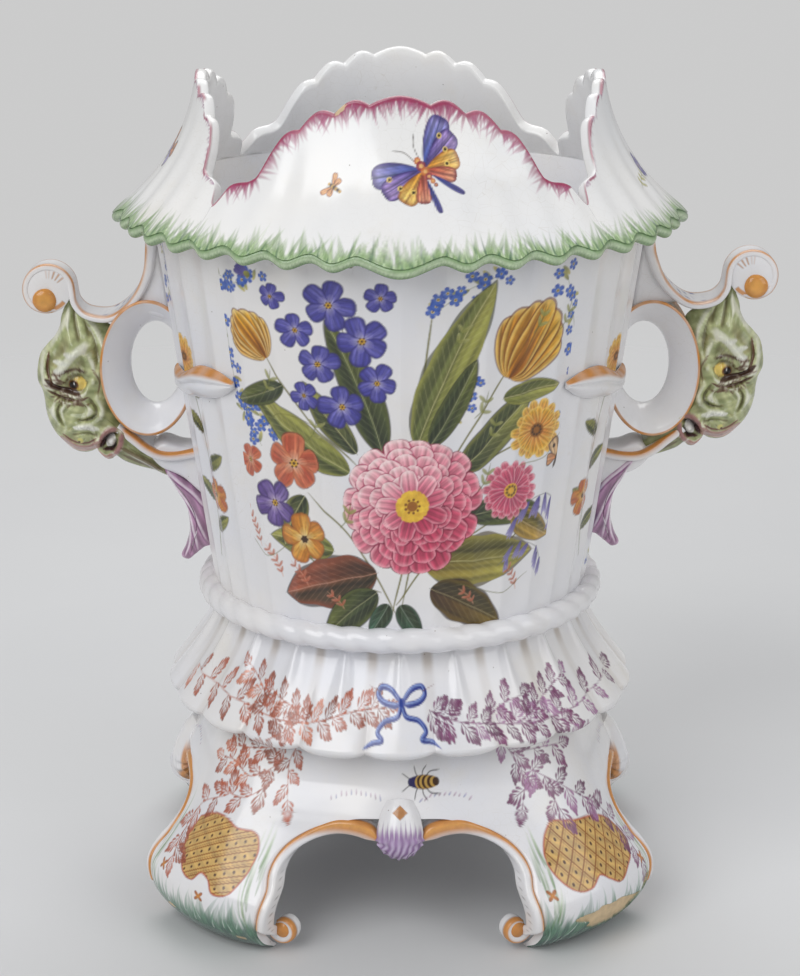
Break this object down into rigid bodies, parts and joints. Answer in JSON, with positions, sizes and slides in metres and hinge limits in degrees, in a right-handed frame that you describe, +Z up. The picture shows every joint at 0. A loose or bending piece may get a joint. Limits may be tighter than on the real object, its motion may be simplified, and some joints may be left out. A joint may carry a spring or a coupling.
{
  "type": "ornamental planter",
  "caption": "Glazed ceramic planter: fluted bowl with a scalloped overhanging collar and ring handles, lifting off a skirted stand with arched legs.",
  "frame": {"origin": "centre of the footprint, on the ground under the feet", "axes": "+Z up, -Y towards the front arch, +X towards the right-hand handle"},
  "size_m": [0.3676, 0.29, 0.407],
  "materials": {
    "tin_glaze_white": "gloss tin glaze over buff clay",
    "tin_glaze_collar": "gloss tin glaze over buff clay",
    "enamel_green": "gloss painted enamel over tin glaze",
    "enamel_purple": "gloss painted enamel over tin glaze",
    "enamel_ochre": "gloss painted enamel over tin glaze"
  },
  "bodies": {
    "stand": {"skirt": "tin_glaze_white", "leg_front_right": "tin_glaze_white", "leg_back_right": "tin_glaze_white", "leg_back_left": "tin_glaze_white", "leg_front_left": "tin_glaze_white", "arch_scroll_front_a": "enamel_ochre", "arch_scroll_front_b": "enamel_ochre", "drop_front": "enamel_purple", "arch_scroll_right_a": "enamel_ochre", "arch_scroll_right_b": "enamel_ochre", "drop_right": "enamel_purple", "arch_scroll_back_a": "enamel_ochre", "arch_scroll_back_b": "enamel_ochre", "drop_back": "enamel_purple", "arch_scroll_left_a": "enamel_ochre", "arch_scroll_left_b": "enamel_ochre", "drop_left": "enamel_purple"},
    "vase": {"vessel": "tin_glaze_white", "rope_moulding": "tin_glaze_white", "collar_front": "tin_glaze_collar", "collar_right": "tin_glaze_collar", "collar_back": "tin_glaze_collar", "collar_left": "tin_glaze_collar", "scroll_right": "tin_glaze_white", "finger_ring_right": "tin_glaze_white", "mask_right": "enamel_green", "lower_scroll_right": "enamel_ochre", "leaf_drop_right": "enamel_purple", "clasp_front_right": "tin_glaze_white", "clasp_back_right": "tin_glaze_white", "scroll_left": "tin_glaze_white", "finger_ring_left": "tin_glaze_white", "mask_left": "enamel_green", "lower_scroll_left": "enamel_ochre", "leaf_drop_left": "enamel_purple", "clasp_front_left": "tin_glaze_white", "clasp_back_left": "tin_glaze_white"}
  },
  "joints": [
    {"name": "vase_lift", "type": "slide", "parent": "stand", "child": "vase", "axis": [0, 0, 1], "range_m": [0, 0.15]}
  ]
}
